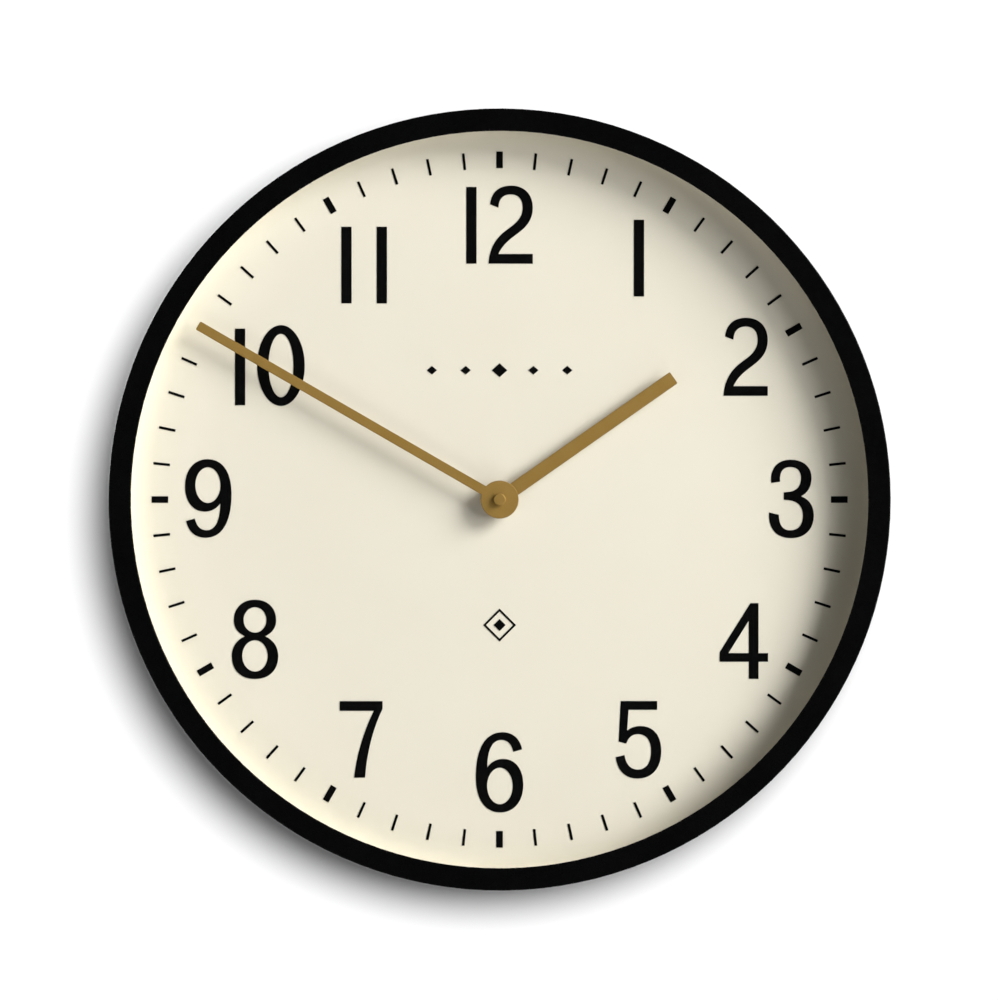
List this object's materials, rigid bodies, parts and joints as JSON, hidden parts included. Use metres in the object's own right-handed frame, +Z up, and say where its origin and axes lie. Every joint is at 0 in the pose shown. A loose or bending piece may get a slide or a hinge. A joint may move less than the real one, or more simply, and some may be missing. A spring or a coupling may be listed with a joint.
{
  "type": "wall clock",
  "caption": "Round wall clock with a flat black bezel, cream dial, plain numerals and brass-coloured hands on a battery quartz movement.",
  "frame": {"origin": "on the hands' axis, in the plane of the wall that the back rests on", "axes": "+Y into the wall along the hands' axis, +Z up through twelve, +X towards three as seen from the front"},
  "size_m": [0.4499, 0.052, 0.45],
  "materials": {
    "black_steel": "matte powder coat",
    "lens_glass": "clear float glass",
    "gasket_rubber": "matte",
    "liner_cream": "matte",
    "dial_cream": "satin printed sheet",
    "ink_black": "screen printed, semi-matte",
    "support_plastic": "matte moulded",
    "zinc_steel": "zinc plated",
    "hand_brass": "satin brass-coloured lacquer",
    "turned_brass": "turned",
    "movement_black": "fine moulded texture",
    "train_acetal": "natural acetal",
    "bridge_grey": "moulded",
    "board_green": "solder mask",
    "chip_epoxy": "cast epoxy",
    "can_nickel": "nickel can",
    "copper_wire": "enamelled copper",
    "soft_iron": "laminated soft iron",
    "magnet_ferrite": "sintered",
    "contact_nickel": "nickel plated spring steel",
    "cell_label": "printed foil sleeve",
    "knob_white": "satin moulded"
  },
  "bodies": {
    "root": {"case_body": "black_steel", "bezel": "black_steel", "clinch_nuts": "zinc_steel", "bezel_screws": "black_steel", "lens": "lens_glass", "lens_gasket": "gasket_rubber", "reflector_ring": "liner_cream", "dial": "dial_cream", "dial_numerals": "ink_black", "hour_marks": "ink_black", "minute_marks": "ink_black", "dial_ornament": "ink_black", "dial_support_ring": "support_plastic", "hanger_plate": "zinc_steel", "hanger_rivets": "zinc_steel", "sealing_washer": "gasket_rubber", "brass_washer": "turned_brass", "hex_nut": "turned_brass", "centre_bushing": "turned_brass", "movement_housing": "movement_black", "movement_cover": "movement_black", "cover_screws": "zinc_steel", "train_bridge": "bridge_grey", "bridge_screws": "zinc_steel", "circuit_board": "board_green", "control_chip": "chip_epoxy", "quartz_crystal": "can_nickel", "coil_bobbin": "bridge_grey", "coil_winding": "copper_wire", "coil_core": "soft_iron", "stator_plate": "soft_iron", "stator_screws": "zinc_steel", "coil_leads": "copper_wire", "positive_contact": "contact_nickel", "negative_contact": "contact_nickel", "motion_stud": "zinc_steel"},
    "minute_group": {"minute_arbor": "turned_brass", "centre_wheel": "train_acetal", "minute_collet": "turned_brass", "minute_hand": "hand_brass", "cap_nut": "hand_brass"},
    "hour_group": {"hour_wheel": "train_acetal", "hour_collet": "turned_brass", "hour_hand": "hand_brass"},
    "motion_group": {"motion_wheel": "train_acetal"},
    "third_group": {"third_wheel": "train_acetal"},
    "second_group": {"second_wheel": "train_acetal"},
    "intermediate_group": {"intermediate_wheel": "train_acetal"},
    "rotor_group": {"rotor_magnet": "magnet_ferrite", "rotor_pinion": "train_acetal"},
    "setting_group": {"setting_arbor": "knob_white", "setting_knob": "knob_white"},
    "battery_group": {"battery": "cell_label"}
  },
  "joints": [
    {"name": "minute_spin", "type": "hinge", "parent": "root", "child": "minute_group", "pos_m": [0, -0.025, 0], "axis": [0, 1, 0], "continuous": true},
    {"name": "hour_spin", "type": "hinge", "parent": "root", "child": "hour_group", "pos_m": [0, -0.03, 0], "axis": [0, 1, 0], "continuous": true},
    {"name": "motion_wheel_spin", "type": "hinge", "parent": "root", "child": "motion_group", "pos_m": [-0.012, -0.023, 0], "axis": [0, 1, 0], "continuous": true},
    {"name": "third_wheel_spin", "type": "hinge", "parent": "root", "child": "third_group", "pos_m": [-0.0051, -0.018, 0.00883], "axis": [0, 1, 0], "continuous": true},
    {"name": "second_wheel_spin", "type": "hinge", "parent": "root", "child": "second_group", "pos_m": [0, -0.016, 0], "axis": [0, 1, 0], "continuous": true},
    {"name": "intermediate_wheel_spin", "type": "hinge", "parent": "root", "child": "intermediate_group", "pos_m": [0.00727, -0.015, -0.0042], "axis": [0, 1, 0], "continuous": true},
    {"name": "rotor_spin", "type": "hinge", "parent": "root", "child": "rotor_group", "pos_m": [0.01264, -0.016, -0.0087], "axis": [0, 1, 0], "continuous": true},
    {"name": "setting_knob_spin", "type": "hinge", "parent": "root", "child": "setting_group", "pos_m": [-0.01662, -0.012, 0.01269], "axis": [0, 1, 0], "continuous": true},
    {"name": "battery_slide", "type": "slide", "parent": "root", "child": "battery_group", "axis": [0, 1, 0], "range_m": [0, 0.03]}
  ],
  "couplings": [
    {"joint": "hour_spin", "follows": "minute_spin", "ratio": 0.083333},
    {"joint": "motion_wheel_spin", "follows": "minute_spin", "ratio": -0.33333},
    {"joint": "third_wheel_spin", "follows": "minute_spin", "ratio": -7.5},
    {"joint": "second_wheel_spin", "follows": "minute_spin", "ratio": 60},
    {"joint": "intermediate_wheel_spin", "follows": "minute_spin", "ratio": -300},
    {"joint": "rotor_spin", "follows": "minute_spin", "ratio": 1800},
    {"joint": "setting_knob_spin", "follows": "minute_spin", "ratio": 0.66667}
  ]
}
